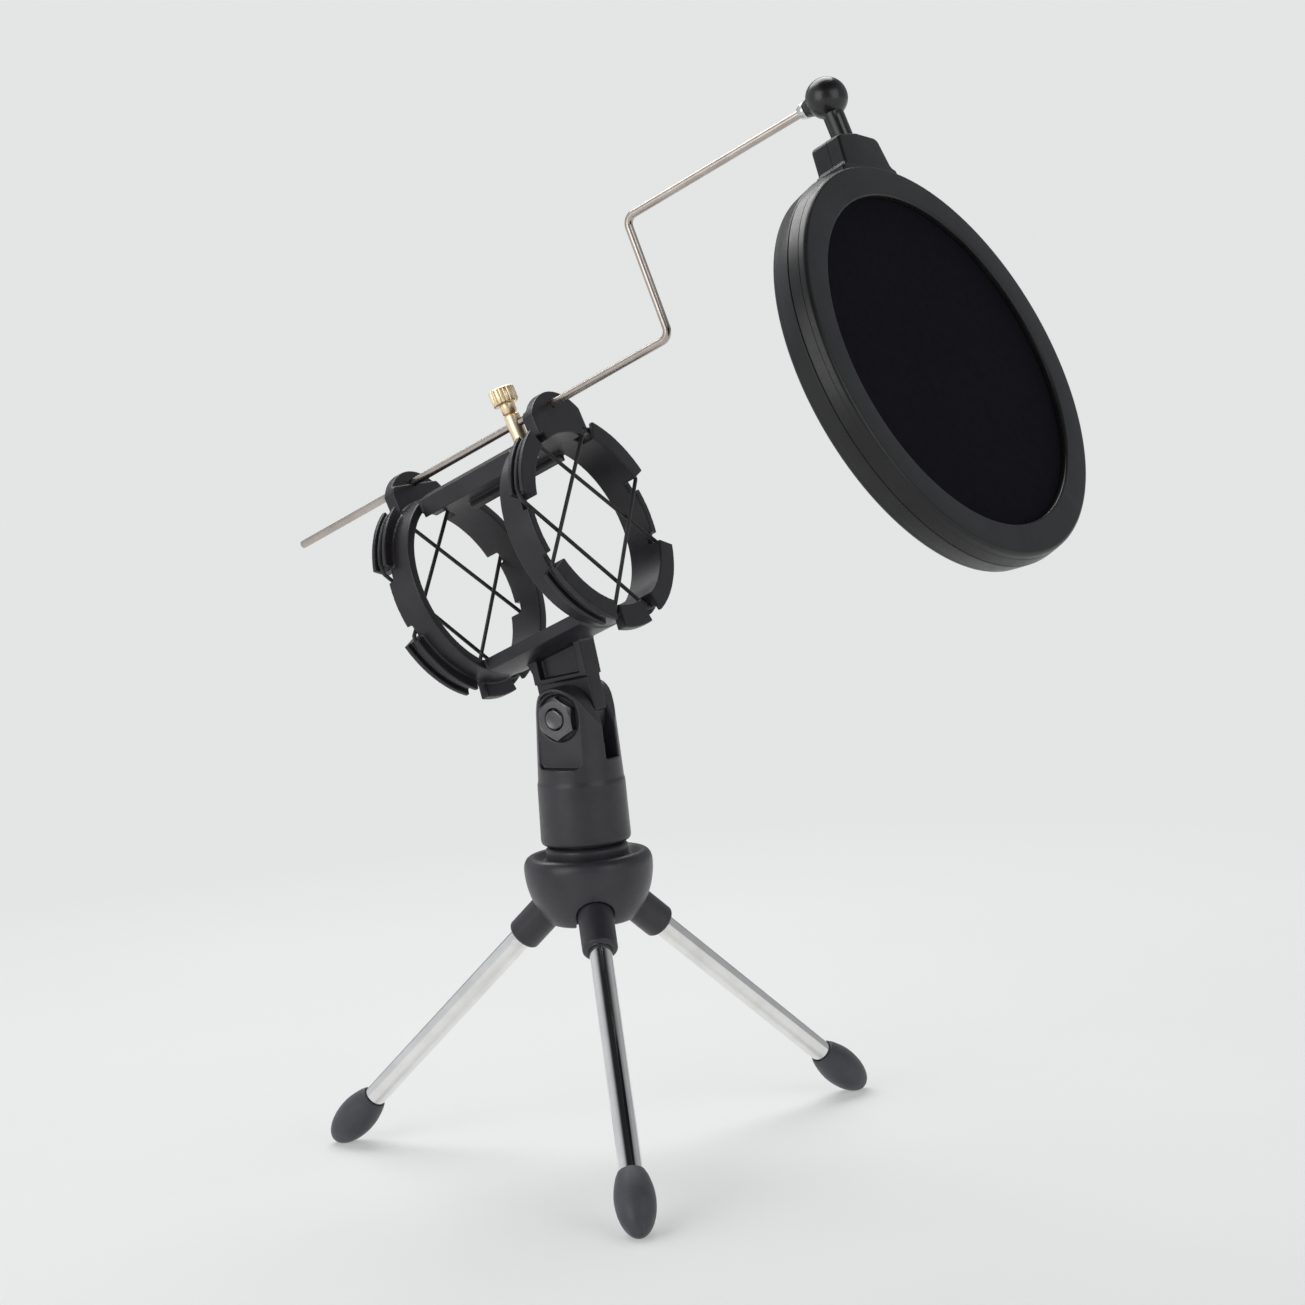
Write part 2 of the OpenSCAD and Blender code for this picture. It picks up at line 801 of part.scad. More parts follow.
// Half of the neck; local X points at the ball
module neck_half_solid() {
    side = [
        [filter_R - 6, neck_half + 3], [filter_R - 1.5, neck_half + 3], [filter_R + 1.5, neck_half + 0.6],
        [neck_top - 4, neck_half - 0.4], [neck_top - 1.2, neck_half - 2.2], [neck_top, neck_half - 5]
    ];
    last = len(side) - 1;
    linear_extrude(height = neck_t)
        difference() {
            polygon(concat(side, [for (i = [last : -1 : 0]) [side[i][0], -side[i][1]]]));
            circle(r = filter_R - 3);
        }
}

module stem_socket() {
    rotate([0, 90, 0]) {
        translate([0, 0, stem_end - 0.3]) cylinder(r = stem_r + collar_over + slack, h = 3);
        translate([0, 0, stem_end]) cylinder(r = stem_r + slack, h = 30);
    }
}

module frame_half(depth) {
    difference() {
        union() {
            rotate_extrude($fn = 160) frame_outline(depth);
            neck_half_solid();
        }
        stem_socket();
    }
}

module frame_front() {
    color(black) filter_place() frame_half(front_t);
}

module frame_back() {
    color(black) filter_place() mirror([0, 0, 1]) frame_half(back_t);
}

module mesh_hoop() {
    color(black)
        filter_place()
            ring_solid(open_r + 0.8, seat_r - 0.2, -mesh_gap / 2 + mesh_t, mesh_gap / 2 - mesh_t);
}

module mesh_disc(z) {
    color(mesh_black)
        filter_place() translate([0, 0, z]) cylinder(r = seat_r - 0.2, h = mesh_t, $fn = 128);
}

module mesh_front() {
    mesh_disc(mesh_gap / 2 - mesh_t);
}

module mesh_back() {
    mesh_disc(-mesh_gap / 2);
}

hub();
hub_stud();
hub_screw();
hinge_pins();
leg_socket(0);  // leg_socket_1
leg_socket(1);  // leg_socket_2
leg_socket(2);  // leg_socket_3
leg_tube(0);  // leg_tube_1
leg_tube(1);  // leg_tube_2
leg_tube(2);  // leg_tube_3
foot(0);  // foot_1
foot(1);  // foot_2
foot(2);  // foot_3
clip_body();
thread_insert();
pivot_bolt();
pivot_nut();
cradle_arm();
lower_bar();
upper_bar();
front_ring();
rear_ring();
front_boss();
rear_boss();
front_band_1();
front_band_2();
rear_band_1();
rear_band_2();
clamp_post();
clamp_nut();
clamp_screw();
wire_arm();
wire_ferrule();
swivel_ball();
swivel_clip();
frame_front();
frame_back();
mesh_hoop();
mesh_front();
mesh_back();
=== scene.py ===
import bpy, bmesh, json, math
from mathutils import Matrix, Vector


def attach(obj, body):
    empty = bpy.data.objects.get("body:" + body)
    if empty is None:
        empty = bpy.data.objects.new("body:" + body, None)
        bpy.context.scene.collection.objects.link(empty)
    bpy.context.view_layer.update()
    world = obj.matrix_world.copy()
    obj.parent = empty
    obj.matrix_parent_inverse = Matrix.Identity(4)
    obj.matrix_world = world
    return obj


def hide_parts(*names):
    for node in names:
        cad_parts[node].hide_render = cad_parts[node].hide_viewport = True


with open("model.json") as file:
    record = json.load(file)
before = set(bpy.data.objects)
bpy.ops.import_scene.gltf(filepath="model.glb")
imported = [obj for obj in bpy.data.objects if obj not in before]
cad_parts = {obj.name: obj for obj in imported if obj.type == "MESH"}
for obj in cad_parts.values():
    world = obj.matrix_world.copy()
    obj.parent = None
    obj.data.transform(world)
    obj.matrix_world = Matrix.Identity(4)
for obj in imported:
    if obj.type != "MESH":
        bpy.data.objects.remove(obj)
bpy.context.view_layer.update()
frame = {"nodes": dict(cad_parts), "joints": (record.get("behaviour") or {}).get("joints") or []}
NODES = frame["nodes"]
JOINTS = {j["name"]: j for j in frame["joints"]}

# ---------- sizes, in millimetres and degrees ----------
# tripod
LEG_SPREAD, LEG_AZIMUTH = 48, -52
TUBE_R, TUBE_BORE_R, TUBE_START = 3.4, 2.8, 6.5
LEG_LEN, FOOT_GRIP = 96, 15                 # hinge to the foot's rim, and the tube inside the foot
FOOT_R, FOOT_RIM_R = 5.9, 4.2
FOOT_SWELL, FOOT_NOSE = 8.8, 12             # rim to the widest point, and from there to the tip
# pivot bolt
NUT_AF, NUT_T, HEAD_T = 11.4, 2.8, 3.2
SEAT = 8.4                                  # the seats of nut and head, from the middle
BOLT_R, BOLT_LEN = 3.0, 20.35               # the length is from the head's seat
# shock mount
RING_R, RING_UP, RING_FRONT, MOUNT_LEN = 30.0, 49.1, 35.0, 61.2
LIP_T, GROOVE_W = 1.4, 2.8                  # a hook's lip and the groove behind it
GROOVES = ((28.9, 69.1), (112.3, 159.1))    # where the grooves lie on one half of a ring
NOTCHES = (25.6, 71.2, 110.2, 161.2)        # where the bands leave them
BAND_D, BAND_R = 1.2, RING_R + 0.75
# wire clamp
POST_BACK, POST_R, POST_STUD_R = 15.2, 2.4, 1.6
POST_END, BAR_TOP = 24.2, 28.8              # lower end of the post, and its shoulder on the bar
KNOB_R, KNURLS, KNURL_DEPTH = 4.0, 18, 0.30
# wire and swivel
WIRE_R, WIRE_UP, WIRE_RISE = 1.2, 36.3, 36.7
WIRE_BACK, WIRE_FRONT, BEND_R, RISE_LEAN = 106, 45.9, 3.2, 3
CRIMP_R, CRIMP_AHEAD, CRIMP_LEN = 2.4, 9.4, 2.4
BALL_R, BALL_AHEAD = 5.9, 122
STEM_R, STEM_FOOT_R, STEM_END = 3.0, 3.7, 60
# filter
FILTER_SWING, FILTER_TURN, FILTER_NOD, FILTER_DROP = -6.5, -2, 2, 82.6
FILTER_R, OPEN_R, SEAT_R, SEAT_Z = 59.3, 49.3, 53.5, 3.55
FRONT_T, BACK_T, NECK_TOP = 5.5, 6.6, 69.4
FABRIC_R, FABRIC_T = 53.3, 0.4


# ---------- places: local millimetres to metres in the shared frame ----------
def turn(axis, deg):
    return Matrix.Rotation(math.radians(deg), 4, axis)


def shift(x, y, z):
    return Matrix.Translation((x, y, z))


MM = Matrix.Scale(0.001, 4)
FLIP = Matrix.Scale(-1, 4, (0, 0, 1))
HINGE = JOINTS["leg_fold_1"]["pos_m"]
HINGE_Z = HINGE[2] * 1000
HINGE_R = math.hypot(HINGE[0], HINGE[1]) * 1000
PIVOT_Z = JOINTS["mount_tilt"]["pos_m"][2] * 1000
WIRE_AXIS = JOINTS["wire_slide"]["axis"]
TILT = math.degrees(math.atan2(WIRE_AXIS[2], WIRE_AXIS[0]))
PIVOT = MM @ shift(0, 0, PIVOT_Z) @ turn("X", 90)
CRADLE = MM @ shift(0, 0, PIVOT_Z) @ turn("Y", -TILT)
FRONT = CRADLE @ shift(RING_FRONT, 0, RING_UP) @ turn("Y", 90) @ turn("Z", 180)
REAR = CRADLE @ shift(RING_FRONT - MOUNT_LEN, 0, RING_UP) @ turn("Y", 90) @ turn("Z", 180) @ FLIP
POST = FRONT @ shift(0, 0, -POST_BACK) @ turn("Y", 90)
WIRE = CRADLE @ shift(RING_FRONT, 0, RING_UP + WIRE_UP)
BALL = WIRE @ shift(BALL_AHEAD, 0, WIRE_RISE)
SWING = BALL @ turn("X", FILTER_SWING) @ turn("Y", -FILTER_NOD)
FILTER = SWING @ turn("Z", FILTER_TURN) @ shift(0, 0, -FILTER_DROP) @ turn("Y", 90) @ turn("Z", 180)


def leg_place(k):
    return MM @ turn("Z", LEG_AZIMUTH + 120 * k) @ shift(HINGE_R, 0, HINGE_Z) @ turn("Y", 180 - LEG_SPREAD)


# ---------- materials ----------
class Look:
    """A node material: sockets set on the shader, plus helpers that add procedural nodes."""

    def __init__(self, name, **sockets):
        self.m = bpy.data.materials.new(name)
        self.m.use_nodes = True
        self.t = self.m.node_tree
        self.b = self.t.nodes["Principled BSDF"]
        for key, value in sockets.items():
            self.b.inputs[key.replace("_", " ")].default_value = value
        self.co = self.add("ShaderNodeTexCoord").outputs["Object"]

    def add(self, kind, props=(), **ins):
        n = self.t.nodes.new(kind)
        for key, value in dict(props).items():
            setattr(n, key, value)
        for key, value in ins.items():
            self.feed(n.inputs[key.replace("_", " ")], value)
        return n

    def feed(self, socket, value):
        if isinstance(value, bpy.types.NodeSocket):
            self.t.links.new(value, socket)
        else:
            socket.default_value = value

    def noise(self, scale, detail=2.0, rough=0.5):
        return self.add("ShaderNodeTexNoise", Vector=self.co, Scale=scale, Detail=detail,
                        Roughness=rough).outputs["Fac"]

    def ramp(self, fac, *stops):
        n = self.add("ShaderNodeValToRGB", Fac=fac)
        for e, (pos, c) in zip(n.color_ramp.elements, stops):
            e.position = pos
            e.color = (*c, 1) if hasattr(c, "__len__") else (c, c, c, 1)
        return n.outputs["Color"]

    def span(self, value, a, b, c, d):
        """The value's range a to b, mapped to c to d and held there."""
        return self.add("ShaderNodeMapRange", Value=value, From_Min=a, From_Max=b, To_Min=c,
                        To_Max=d).outputs["Result"]

    def mix(self, fac, a, colour):
        """From socket a to a fixed colour."""
        n = self.add("ShaderNodeMix", {"data_type": "RGBA"})
        for i, v in ((0, fac), (6, a), (7, (*colour, 1))):
            self.feed(n.inputs[i], v)
        return n.outputs[2]

    def math(self, kind, a, b=0.0):
        n = self.add("ShaderNodeMath", {"operation": kind})
        self.feed(n.inputs[0], a)
        self.feed(n.inputs[1], b)
        return n.outputs[0]

    def waves(self, phase):
        """Rounded ridges, two for each turn of the phase."""
        return self.math("ABSOLUTE", self.math("SINE", phase))

    def bump(self, height, strength, distance, normal=None):
        n = self.add("ShaderNodeBump", Height=height, Strength=strength, Distance=distance)
        if normal is not None:
            self.t.links.new(normal, n.inputs["Normal"])
        return n.outputs["Normal"]

    def edges(self):
        """Close to 1 on sharp outer edges, and 0 elsewhere."""
        return self.span(self.add("ShaderNodeNewGeometry").outputs["Pointiness"], 0.54, 0.62, 0, 1)

    def uv(self):
        n = self.add("ShaderNodeSeparateXYZ", Vector=self.add("ShaderNodeTexCoord").outputs["UV"])
        return n.outputs["X"], n.outputs["Y"]

    def out(self, **links):
        for key, s in links.items():
            self.t.links.new(s, self.b.inputs[key.replace("_", " ")])
        return self.m


def plastic(name, dark, light, rough, grain=2600, depth=0.22, shine=0.5):
    """Moulded black plastic: spark-eroded grain, cloudy sheen, edges rubbed paler."""
    k = Look(name, IOR=1.47, Specular_IOR_Level=shine)
    base = k.ramp(k.noise(95, 4, 0.55), (0.32, dark), (0.68, light))
    rubbed = k.math("MULTIPLY", k.edges(), k.span(k.noise(420, 3), 0.35, 0.65, 0.2, 1))
    pale = tuple(c * 2.4 + 0.012 for c in light)
    col = k.mix(k.math("MULTIPLY", rubbed, 0.3), base, pale)
    scuff = k.math("ADD", k.noise(60, 3), k.noise(900, 5, 0.7))
    r = k.span(scuff, 0.7, 1.3, rough - 0.08, rough + 0.09)
    n = k.bump(k.noise(grain, 2, 0.6), depth, 0.00006, k.bump(k.noise(260), 0.08, 0.0002))
    return k.out(Base_Color=col, Roughness=r, Normal=n)


def rubber(name):
    """Dull dark grey rubber, with a little dust where the foot meets the desk."""
    k = Look(name, IOR=1.5, Sheen_Weight=0.12, Sheen_Roughness=0.5)
    base = k.ramp(k.noise(130, 4), (0.3, (0.030, 0.034, 0.042)), (0.7, (0.048, 0.053, 0.063)))
    height = k.add("ShaderNodeSeparateXYZ", Vector=k.co).outputs["Z"]
    dust = k.math("MULTIPLY", k.span(height, 0.0, 0.006, 1, 0), k.span(k.noise(900, 4), 0.4, 0.7, 0.1, 0.8))
    col = k.mix(k.math("MULTIPLY", dust, 0.35), base, (0.16, 0.16, 0.15))
    r = k.span(k.noise(500, 4), 0.3, 0.7, 0.46, 0.62)
    return k.out(Base_Color=col, Roughness=r, Normal=k.bump(k.noise(2100, 3, 0.6), 0.3, 0.00008))


def metal(name, dark, light, rough, spread=0.05, pits=0.0):
    """Plated or turned metal: cloudy colour, smears in the roughness, and fine pits if asked for."""
    k = Look(name, Metallic=1.0, IOR=1.5)
    col = k.ramp(k.noise(110, 4, 0.6), (0.3, dark), (0.7, light))
    fine = k.noise(1500, 3, 0.6)
    r = k.span(k.math("ADD", k.noise(240, 5, 0.65), fine), 0.75, 1.3, rough - spread, rough + spread)
    n = k.bump(fine, pits, 0.00002, k.bump(k.noise(90), 0.006, 0.0002))
    return k.out(Base_Color=col, Roughness=r, Normal=n)


def gloss(name):
    """Shiny black plastic of the ball and its stem."""
    k = Look(name, IOR=1.47, Coat_Weight=0.12, Coat_Roughness=0.16)
    base = k.ramp(k.noise(150, 4), (0.3, (0.008, 0.008, 0.0085)), (0.7, (0.014, 0.014, 0.0145)))
    col = k.mix(k.math("MULTIPLY", k.edges(), 0.2), base, (0.09, 0.09, 0.09))
    r = k.span(k.noise(300, 3), 0.3, 0.7, 0.27, 0.33)
    n = k.bump(k.noise(1900), 0.02, 0.00002, k.bump(k.noise(120), 0.02, 0.0002))
    return k.out(Base_Color=col, Roughness=r, Normal=n)


def braid(name):
    """Elastic cord: two sets of threads that cross round a tube. UV is turns round and mm along."""
    k = Look(name, IOR=1.45, Sheen_Weight=0.25, Sheen_Roughness=0.4)
    u, v = k.uv()
    threads, pitch = 6, 1.1
    around = k.math("MULTIPLY", u, 2 * math.pi * threads)
    along = k.math("MULTIPLY", v, 2 * math.pi / pitch)
    h = k.math("MAXIMUM", *(k.waves(k.math(way, around, along)) for way in ("ADD", "SUBTRACT")))
    col = k.ramp(h, (0.1, 0.004), (0.9, (0.030, 0.030, 0.032)))
    col = k.mix(k.span(k.noise(3000, 3), 0.5, 0.8, 0, 0.35), col, (0.06, 0.06, 0.062))
    n = k.bump(h, 0.6, 0.00008, k.bump(k.noise(5200, 3), 0.3, 0.00003))
    return k.out(Base_Color=col, Roughness=k.span(h, 0, 1, 0.85, 0.6), Normal=n)


def fabric(name):
    """Fine black knit, UV in millimetres: staggered loops with small dark holes."""
    k = Look(name, IOR=1.4, Specular_IOR_Level=0.08)
    u, v = k.uv()
    pitch = 0.62
    rows = [k.waves(k.math("MULTIPLY", k.math(way, u, v), math.pi / pitch)) for way in ("ADD", "SUBTRACT")]
    h = k.math("MAXIMUM", *rows)
    col = k.ramp(h, (0.55, 0.0016), (0.95, (0.0092, 0.0086, 0.0132)))
    col = k.mix(k.span(k.noise(30, 3), 0.35, 0.7, 0, 0.4), col, (0.0050, 0.0047, 0.0074))
    n = k.bump(h, 0.35, 0.0001, k.bump(k.noise(6000, 3), 0.3, 0.00003))
    return k.out(Base_Color=col, Roughness=k.span(k.noise(420, 3), 0.3, 0.7, 0.78, 0.9), Normal=n)


LOOKS = {
    "black_plastic": plastic("black_plastic", (0.024, 0.0220, 0.0268), (0.037, 0.0342, 0.0410), 0.36),
    "mount_plastic": plastic("mount_plastic", (0.0112, 0.0096, 0.0126), (0.0205, 0.0178, 0.0230), 0.38),
    "filter_plastic": plastic("filter_plastic", (0.0065, 0.0065, 0.007), (0.0115, 0.0115, 0.012), 0.34,
                              grain=3000, depth=0.18, shine=0.40),
    "gloss_ball": gloss("gloss_ball"),
    "foot_rubber": rubber("foot_rubber"),
    "leg_chrome": metal("leg_chrome", (0.77, 0.765, 0.75), (0.88, 0.875, 0.86), 0.09, 0.03),
    "wire_nickel": metal("wire_nickel", (0.42, 0.37, 0.33), (0.56, 0.505, 0.46), 0.27),
    "fastener_steel": metal("fastener_steel", (0.11, 0.105, 0.11), (0.17, 0.165, 0.17), 0.30, 0.06),
    "bright_steel": metal("bright_steel", (0.50, 0.50, 0.50), (0.72, 0.72, 0.72), 0.28, 0.08, 0.03),
    "brass": metal("brass", (0.95, 0.76, 0.49), (1.0, 0.86, 0.62), 0.36),
    "elastic": braid("elastic"),
    "mesh_fabric": fabric("mesh_fabric"),
}


# ---------- shapes, as (vertices, faces[, uvs]) in local millimetres ----------
def lerp_range(a, b, steps, first=0):
    """Evenly spaced values from a to b, leaving out the ones before the first."""
    return [a + (b - a) * i / steps for i in range(first, steps + 1)]


def fillet(points, radii, closed=True, steps=5):
    """The polyline with its corners rounded. radii is one number or one per point."""
    n = len(points)
    size = len(points[0])
    out = []
    for i, p in enumerate(points):
        r = radii[i] if hasattr(radii, "__len__") else radii
        p = Vector(p)
        a, b = Vector(points[i - 1]) - p, Vector(points[(i + 1) % n]) - p
        open_end = not closed and i in (0, n - 1)
        half = 0 if open_end else a.angle(b) / 2
        if r <= 0 or open_end or half > math.pi / 2 - 0.02:
            out.append(p)
            continue
        cut_back = min(r / math.tan(half), a.length * 0.49, b.length * 0.49)
        r = cut_back * math.tan(half)
        a, b = a.normalized(), b.normalized()
        centre = p + (a + b).normalized() * (r / math.sin(half))
        start, end = p + a * cut_back - centre, p + b * cut_back - centre
        ang = start.angle(end)
        for t in lerp_range(0, 1, max(2, round(steps * ang / (math.pi / 2)) + 1)):
            out.append(centre + (math.sin((1 - t) * ang) * start + math.sin(t * ang) * end) / math.sin(ang))
    return [tuple(v[:size]) for v in out]


def divided(points, step, closed=False):
    """The polyline's points with more between them, about a step apart."""
    out = []
    ends = points[1:] + points[:1] if closed else points[1:]
    for p, q in zip(points, ends):
        parts = max(1, round((Vector(q) - Vector(p)).length / step))
        out += [tuple(Vector(p).lerp(Vector(q), s / parts)) for s in range(parts)]
    return out if closed else out + [points[-1]]


def spin(profile, segs=96, closed=False, warp=None):
    """A profile of (r, z) turned about Z. An open one starts and ends at r = 0."""
    verts, rows, faces = [], [], []
    for r, z in profile:
        if not closed and r < 1e-9:
            rows.append([len(verts)] * segs)
            verts.append((0, 0, z))
            continue
        rows.append([len(verts) + s for s in range(segs)])
        for s in range(segs):
            a = 2 * math.pi * s / segs
            rr, zz = warp(a, r, z) if warp else (r, z)
            verts.append((rr * math.cos(a), rr * math.sin(a), zz))
    count = len(rows)
    for i in range(count if closed else count - 1):
        p, q = rows[i], rows[(i + 1) % count]
        for s in range(segs):
            t = (s + 1) % segs
            f = list(dict.fromkeys((p[s], p[t], q[t], q[s])))
            if len(f) > 2:
                faces.append(f)
    return verts, faces


def sweep(path, radius, sides=16, closed=False, tip=0.0):
    """A round tube along points, with its own UV: turns round, and length along."""
    pts = [Vector(p) for p in path]
    n = len(pts)
    tans = []
    for i in range(n):
        a = pts[i - 1] if closed or i else pts[0]
        b = pts[(i + 1) % n] if closed or i < n - 1 else pts[-1]
        tans.append((b - a).normalized())
    up = tans[0].orthogonal().normalized()
    frames = []
    for t in tans:
        up = (up - t * up.dot(t)).normalized()
        frames.append((up.copy(), t.cross(up)))
    twist = 0.0
    if closed:
        end = (up - tans[0] * up.dot(tans[0])).normalized()
        twist = math.atan2(end.dot(frames[0][1]), end.dot(frames[0][0]))
    rings = [(pts[i], frames[i], radius, -twist * i / n) for i in range(n)]
    if tip > 0:
        round_end = [(tip * math.sin(a), radius - tip * (1 - math.cos(a))) for a in (0.4, 0.8, 1.2, 1.5)]
        rings = ([(pts[0] - tans[0] * along, frames[0], r, 0.0) for along, r in round_end[::-1]] + rings
                 + [(pts[-1] + tans[-1] * along, frames[-1], r, 0.0) for along, r in round_end])
    verts, faces, uvs = [], [], []
    for p, (u, w), r, turned in rings:
        for s in range(sides):
            a = 2 * math.pi * s / sides + turned
            verts.append(tuple(p + (u * math.cos(a) + w * math.sin(a)) * r))
    m = len(rings)
    length = [0.0]
    for i in range(1, m + 1):
        length.append(length[-1] + (rings[i % m][0] - rings[i - 1][0]).length)
    for i in range(m if closed else m - 1):
        j = (i + 1) % m
        for s in range(sides):
            q = (s + 1) % sides
            faces.append((i * sides + s, i * sides + q, j * sides + q, j * sides + s))
            uvs.append([(s / sides, length[i]), ((s + 1) / sides, length[i]),
                        ((s + 1) / sides, length[i + 1]), (s / sides, length[i + 1])])
    if not closed:
        faces += [tuple(range(sides))[::-1], tuple((m - 1) * sides + s for s in range(sides))]
        uvs += [[(0, 0)] * sides, [(0, length[m - 1])] * sides]
    return verts, faces, uvs


def plate(outline, levels):
    """A closed solid from a 2D outline. levels are (z, inset), from one face to the other."""
    n = len(outline)
    pts = [Vector(p) for p in outline]
    area = sum(pts[i - 1].x * pts[i].y - pts[i].x * pts[i - 1].y for i in range(n))
    side = 1 if area > 0 else -1
    normals = []
    for i in range(n):
        a = (pts[i] - pts[i - 1]).normalized()
        b = (pts[(i + 1) % n] - pts[i]).normalized()
        na, nb = Vector((-a.y, a.x)) * side, Vector((-b.y, b.x)) * side
        m = (na + nb).normalized()
        normals.append(m / max(0.5, m.dot(na)))
    verts, faces = [], []
    for z, inset in levels:
        verts += [(*(p + m * inset), z) for p, m in zip(pts, normals)]
    for k in range(len(levels) - 1):
        for i in range(n):
            j = (i + 1) % n
            faces.append((k * n + i, k * n + j, (k + 1) * n + j, (k + 1) * n + i))
    faces += [tuple(range(n))[::-1], tuple((len(levels) - 1) * n + i for i in range(n))]
    return verts, faces


def rounded_levels(z0, z1, r0, r1, steps=4):
    """Levels for plate: an edge radius r0 at z0 and r1 at z1."""
    lower = [(z0 + r0 - r0 * math.sin(a), r0 - r0 * math.cos(a)) for a in lerp_range(math.pi / 2, 0, steps)]
    upper = [(z1 - r1 + r1 * math.sin(a), r1 - r1 * math.cos(a)) for a in lerp_range(0, math.pi / 2, steps)]
    return lower + upper


def arc_block(a0, a1, r0, r1, z0, z1, steps=24):
    """A square-section part of a ring."""
    verts = []
    for a in lerp_range(math.radians(a0), math.radians(a1), steps):
        verts += [(r * math.cos(a), r * math.sin(a), z) for r, z in ((r0, z0), (r1, z0), (r1, z1), (r0, z1))]
    faces = [(0, 1, 2, 3), tuple(4 * steps + i for i in (3, 2, 1, 0))]
    faces += [(4 * i + j, 4 * i + 4 + j, 4 * i + 4 + (j + 1) % 4, 4 * i + (j + 1) % 4)
              for i in range(steps) for j in range(4)]
    return verts, faces


# ---------- objects ----------
def mesh_object(name, parts, place=Matrix()):
    """One object from parts in local millimetres."""
    verts, faces, uvs = [], [], []
    for part in parts:
        base = len(verts)
        verts += [tuple(v) for v in part[0]]
        faces += [tuple(i + base for i in f) for f in part[1]]
        if len(part) > 2:
            uvs += part[2]
    me = bpy.data.meshes.new(name)
    me.from_pydata(verts, [], faces)
    if uvs:
        layer = me.uv_layers.new(name="UVMap").data
        for i, corner in enumerate(c for f in uvs for c in f):
            layer[i].uv = corner
    me.transform(place)
    return linked(name, me)


def linked(name, data):
    o = bpy.data.objects.new(name, data)
    bpy.context.scene.collection.objects.link(o)
    return o


def edit(o, change):
    """Runs change(bm) on the object's mesh."""
    bm = bmesh.new()
    bm.from_mesh(o.data)
    change(bm)
    bm.to_mesh(o.data)
    bm.free()


def face_outwards(bm):
    bmesh.ops.recalc_face_normals(bm, faces=bm.faces)


def weld(bm):
    bmesh.ops.remove_doubles(bm, verts=bm.verts, dist=1e-7)
    face_outwards(bm)


def finish_piece(o, look, body, nodes, angle=32):
    """Its material, smooth shading up to an angle, its body, and the CAD nodes it stands for."""
    o.data.materials.clear()
    o.data.materials.append(LOOKS[look])
    edit(o, weld)
    o.data.shade_smooth()
    o.data.set_sharp_from_angle(angle=math.radians(angle))
    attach(o, body)
    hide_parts(*nodes)
    return o


def piece(name, part, place, look, body, node, angle=32):
    return finish_piece(mesh_object(name, [part], place), look, body, [node], angle)


def join(name, *objects):
    """The objects' meshes as one object."""
    bm = bmesh.new()
    for o in objects:
        bm.from_mesh(o.data)
    me = bpy.data.meshes.new(name)
    bm.to_mesh(me)
    bm.free()
    objects[0].name, objects[0].data = name, me
    for o in objects[1:]:
        bpy.data.objects.remove(o)
    return objects[0]


def apply_modifiers(o):
    bpy.context.view_layer.update()
    dg = bpy.context.evaluated_depsgraph_get()
    me = bpy.data.meshes.new_from_object(o.evaluated_get(dg))
    o.modifiers.clear()
    o.data = me


def cut(o, part, place, kind="DIFFERENCE"):
    """Takes a closed part away from an unfinished object, adds it, or keeps only what is inside it."""
    tool = mesh_object("tool", [part], place)
    edit(o, face_outwards)
    edit(tool, face_outwards)
    m = o.modifiers.new("cut", "BOOLEAN")
    m.operation, m.solver, m.object = kind, "EXACT", tool
    apply_modifiers(o)
    bpy.data.objects.remove(tool)
    return o


def keep_biggest(bm):
    """Deletes all but the largest connected part, such as the remesh's inner shells."""
    left, groups = set(bm.verts), []
    while left:
        group, todo = set(), [left.pop()]
        while todo:
            v = todo.pop()
            group.add(v)
            for w in [e.other_vert(v) for e in v.link_edges]:
                if w in left:
                    left.discard(w)
                    todo.append(w)
        groups.append(group)
    biggest = max(groups, key=len)
    bmesh.ops.delete(bm, geom=[v for g in groups if g is not biggest for v in g], context="VERTS")


def moulded(name, names, place, voxel, look, body, smooth=6, most=None, more=()):
    """CAD nodes fused into one moulding with the small soft edges and fillets of the real one.

    most is the number of triangles to keep, and more holds extra ((vertices, faces), place) parts.
    """
    bm = bmesh.new()
    for n in names:
        me = NODES[n].data.copy()
        me.transform(place.inverted())
        bm.from_mesh(me)
        bpy.data.meshes.remove(me)
    for (verts, faces), spot in more:
        added = [bm.verts.new(place.inverted() @ (spot @ Vector(v))) for v in verts]
        for f in faces:
            bm.faces.new([added[i] for i in f])
    bmesh.ops.remove_doubles(bm, verts=bm.verts, dist=1e-5)
    face_outwards(bm)
    me = bpy.data.meshes.new(name)
    bm.to_mesh(me)
    bm.free()
    o = linked(name, me)
    r = o.modifiers.new("remesh", "REMESH")
    r.mode, r.voxel_size, r.adaptivity = "VOXEL", voxel, 0.0
    s = o.modifiers.new("soften", "SMOOTH")
    s.factor, s.iterations = 0.5, smooth
    apply_modifiers(o)
    if most:
        o.modifiers.new("thin", "DECIMATE").ratio = most / (2 * len(o.data.polygons))
        apply_modifiers(o)
    edit(o, keep_biggest)
    o.data.transform(place)
    return finish_piece(o, look, body, names, 60)


